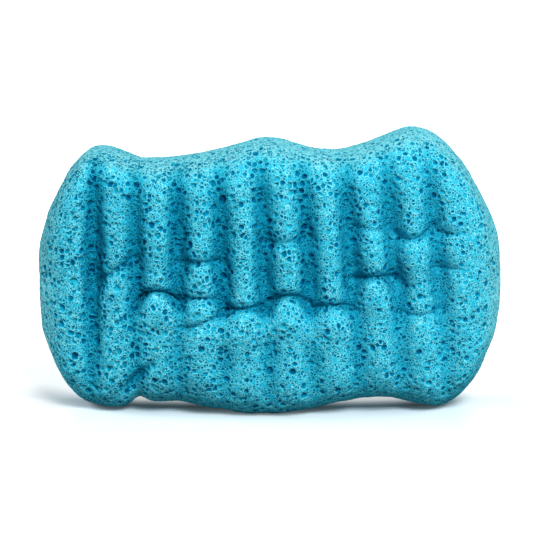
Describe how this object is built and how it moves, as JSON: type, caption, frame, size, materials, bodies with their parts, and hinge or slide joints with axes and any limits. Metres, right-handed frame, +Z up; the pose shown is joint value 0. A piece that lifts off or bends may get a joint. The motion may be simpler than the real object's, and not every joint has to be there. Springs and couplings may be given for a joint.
{
  "type": "konjac sponge",
  "caption": "Wavy-edged bath sponge of soft plant foam, with finger ridges and folds on its front and a plain back. It stands on its long edge.",
  "frame": {"origin": "on the ground under the middle of the pad's bounding box, as it stands on its long edge", "axes": "+X along the pad, the ridged front faces -Y, +Z up"},
  "size_m": [0.132, 0.042, 0.0799],
  "materials": {
    "konjac_foam": "open-cell foam, matt, sky blue"
  },
  "bodies": {
    "root": {"sponge_body": "konjac_foam"}
  },
  "joints": []
}
